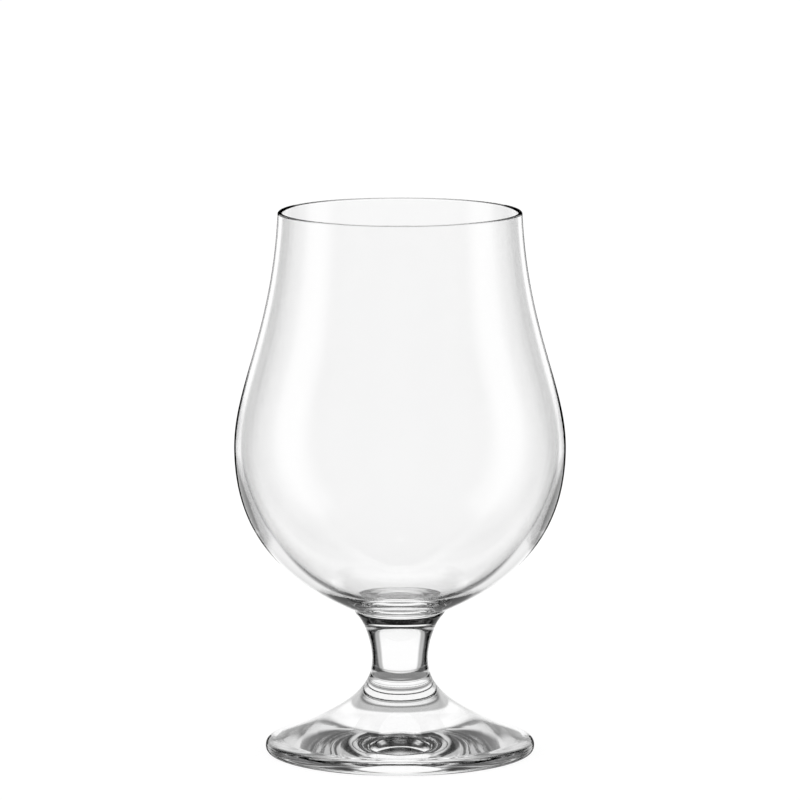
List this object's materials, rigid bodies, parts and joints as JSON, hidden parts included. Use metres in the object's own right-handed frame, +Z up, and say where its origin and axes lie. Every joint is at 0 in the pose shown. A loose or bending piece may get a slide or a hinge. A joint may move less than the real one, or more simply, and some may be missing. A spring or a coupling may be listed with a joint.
{
  "type": "beer glass",
  "caption": "Clear stemmed tulip beer glass: a rounded bowl that narrows to the rim, on a short waisted stem with a flared round foot.",
  "frame": {"origin": "centre of the ring that the foot rests on, on the table", "axes": "+Z up along the glass's axis; the glass is round, so +X and +Y are free"},
  "size_m": [0.0912, 0.0912, 0.15],
  "materials": {
    "clear_glass": "polished, clear and colourless"
  },
  "bodies": {
    "root": {"bowl": "clear_glass", "stem": "clear_glass", "foot": "clear_glass"}
  },
  "joints": []
}
